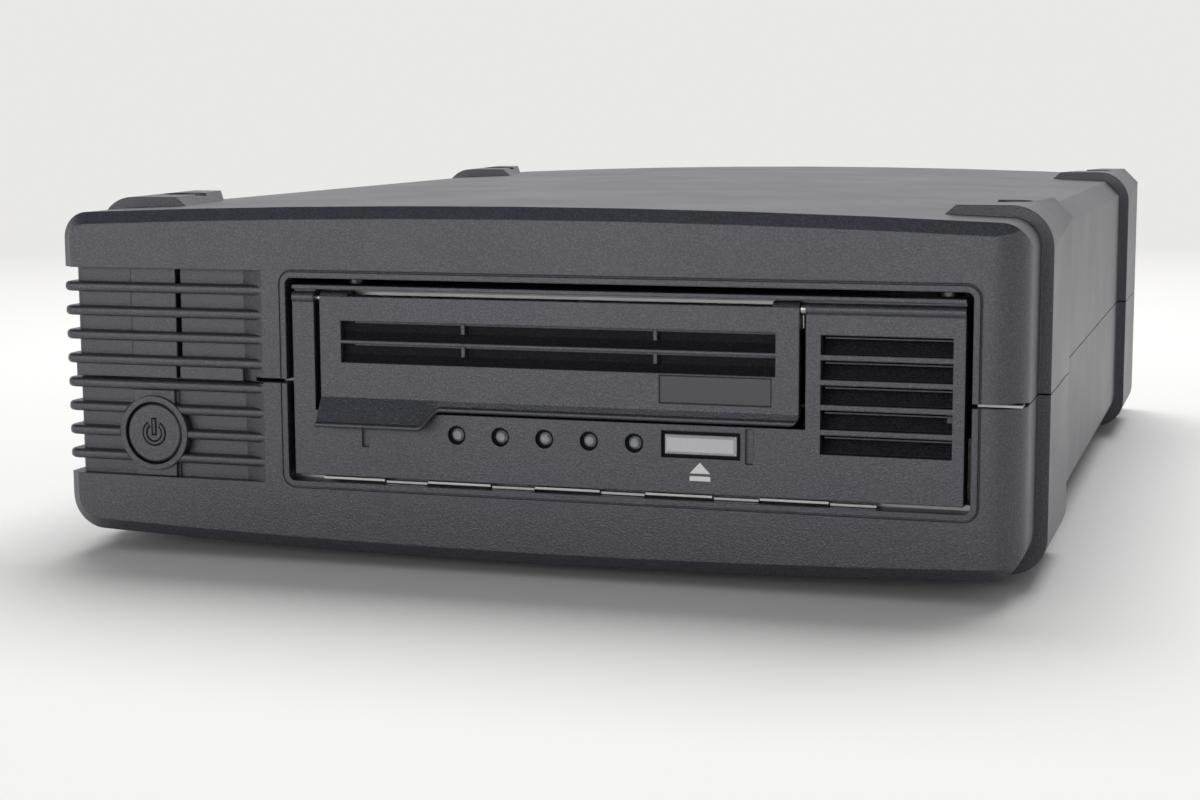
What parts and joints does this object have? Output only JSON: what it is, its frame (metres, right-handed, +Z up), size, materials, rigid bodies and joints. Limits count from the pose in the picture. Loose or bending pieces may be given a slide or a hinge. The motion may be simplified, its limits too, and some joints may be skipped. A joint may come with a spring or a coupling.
{
  "type": "data tape drive",
  "caption": "External half-height data tape drive: ribbed charcoal case with corner bumper bands, hinged cartridge door, eject and power buttons, status lamps, fan and rear sockets.",
  "frame": {"origin": "bottom centre of the bounding box, on the plane the rubber feet stand on", "axes": "+X to the right seen from the front, +Y from the front to the back, +Z up"},
  "size_m": [0.2246, 0.314, 0.0812],
  "materials": {
    "case_plastic": "fine-grained moulded charcoal plastic",
    "bezel_plastic": "fine-grained moulded charcoal plastic",
    "button_grey": "satin light grey plastic",
    "black_plastic": "plain black plastic",
    "natural_plastic": "low-friction off-white plastic",
    "foot_rubber": "matte rubber",
    "plated_steel": "zinc-plated sheet steel",
    "bright_steel": "bright spring and shaft steel",
    "screw_steel": "plated screw steel",
    "board_green": "solder-masked circuit board",
    "lens_clear": "smoked clear light pipe",
    "deck_alloy": "cast and machined aluminium",
    "contact_brass": "plated contact",
    "cable_jacket": "flexible cable jacket"
  },
  "bodies": {
    "enclosure": {"top_cover": "case_plastic", "bottom_case": "case_plastic", "rear_panel": "plated_steel", "rubber_feet": "foot_rubber", "case_screws": "screw_steel", "power_button_ring": "case_plastic", "power_button_spring": "bright_steel", "power_switch": "black_plastic", "switch_board": "board_green", "emi_frame": "plated_steel", "emi_fingers": "plated_steel", "drive_cradle": "plated_steel", "cradle_screws": "screw_steel", "drive_bezel": "bezel_plastic", "grounding_strip": "bright_steel", "door_hinge_pin": "bright_steel", "door_spring": "bright_steel", "front_board": "board_green", "indicator_lenses": "lens_clear", "eject_switch": "black_plastic", "eject_button_spring": "bright_steel", "drive_chassis": "plated_steel", "drive_lid": "plated_steel", "tape_deck": "deck_alloy", "drive_screws": "screw_steel", "main_board": "board_green", "supply_motor": "plated_steel", "takeup_motor": "plated_steel", "guide_shafts": "bright_steel", "head_base": "deck_alloy", "loader_gearmotor": "black_plastic", "panel_screws": "screw_steel", "fan_frame": "black_plastic", "power_inlet": "black_plastic", "inlet_pins": "contact_brass", "data_ports": "plated_steel", "data_port_board": "board_green", "power_supply_board": "board_green", "board_screws": "screw_steel", "transformer": "black_plastic", "supply_capacitors": "deck_alloy", "heat_sink": "deck_alloy", "dc_cable": "cable_jacket", "data_cable": "cable_jacket"},
    "door": {"cartridge_door": "bezel_plastic"},
    "power_button": {"power_button": "case_plastic"},
    "eject_button": {"eject_button": "button_grey"},
    "carrier": {"cartridge_carrier": "plated_steel"},
    "slide": {"loader_slide": "plated_steel"},
    "pinion": {"loader_pinion": "natural_plastic"},
    "chuck": {"supply_chuck": "natural_plastic"},
    "reel": {"takeup_reel": "natural_plastic"},
    "roller_1": {"guide_roller_1": "deck_alloy"},
    "roller_2": {"guide_roller_2": "deck_alloy"},
    "roller_3": {"guide_roller_3": "deck_alloy"},
    "roller_4": {"guide_roller_4": "deck_alloy"},
    "head": {"tape_head": "bright_steel"},
    "fan": {"fan_rotor": "black_plastic"}
  },
  "joints": [
    {"name": "door_hinge", "type": "hinge", "parent": "enclosure", "child": "door", "pos_m": [0.00905, -0.1512, 0.0603], "axis": [1, 0, 0], "range_deg": [-88, 0], "stiffness_Nm_per_rad": 0.003, "springref_deg": 11.46},
    {"name": "power_press", "type": "slide", "parent": "enclosure", "child": "power_button", "axis": [0, 1, 0], "range_m": [0, 0.0022], "stiffness_N_per_m": 400, "springref_m": -0.001, "deforming": ["power_button_spring"]},
    {"name": "eject_press", "type": "slide", "parent": "enclosure", "child": "eject_button", "axis": [0, 1, 0], "range_m": [0, 0.0012], "stiffness_N_per_m": 500, "springref_m": -0.0008, "deforming": ["eject_button_spring"]},
    {"name": "load_travel", "type": "slide", "parent": "enclosure", "child": "slide", "axis": [0, 1, 0], "range_m": [0, 0.012]},
    {"name": "carrier_drop", "type": "slide", "parent": "enclosure", "child": "carrier", "axis": [0, 0, -1], "range_m": [0, 0.0022]},
    {"name": "pinion_spin", "type": "hinge", "parent": "enclosure", "child": "pinion", "pos_m": [0.0753, -0.057, 0.03225], "axis": [0, 0, 1], "range_deg": [-98.5, 0]},
    {"name": "chuck_spin", "type": "hinge", "parent": "enclosure", "child": "chuck", "pos_m": [0.00905, -0.073, 0.03225], "axis": [0, 0, 1], "continuous": true},
    {"name": "reel_spin", "type": "hinge", "parent": "enclosure", "child": "reel", "pos_m": [-0.0071, 0.012, 0.03225], "axis": [0, 0, 1], "continuous": true},
    {"name": "roller_1_spin", "type": "hinge", "parent": "enclosure", "child": "roller_1", "pos_m": [0.0809, -0.031, 0.03225], "axis": [0, 0, 1], "continuous": true},
    {"name": "roller_2_spin", "type": "hinge", "parent": "enclosure", "child": "roller_2", "pos_m": [0.0669, -0.021, 0.03225], "axis": [0, 0, 1], "continuous": true},
    {"name": "roller_3_spin", "type": "hinge", "parent": "enclosure", "child": "roller_3", "pos_m": [0.0309, -0.021, 0.03225], "axis": [0, 0, 1], "continuous": true},
    {"name": "roller_4_spin", "type": "hinge", "parent": "enclosure", "child": "roller_4", "pos_m": [0.0169, -0.015, 0.03225], "axis": [0, 0, 1], "continuous": true},
    {"name": "head_shift", "type": "slide", "parent": "enclosure", "child": "head", "axis": [0, 0, 1], "range_m": [-0.001, 0.001]},
    {"name": "fan_spin", "type": "hinge", "parent": "enclosure", "child": "fan", "pos_m": [0.05, 0.1398, 0.0419], "axis": [0, 1, 0], "continuous": true}
  ],
  "couplings": [
    {"joint": "carrier_drop", "follows": "load_travel", "ratio": 0.18333},
    {"joint": "pinion_spin", "follows": "load_travel", "rad_per_m": -142.86}
  ]
}
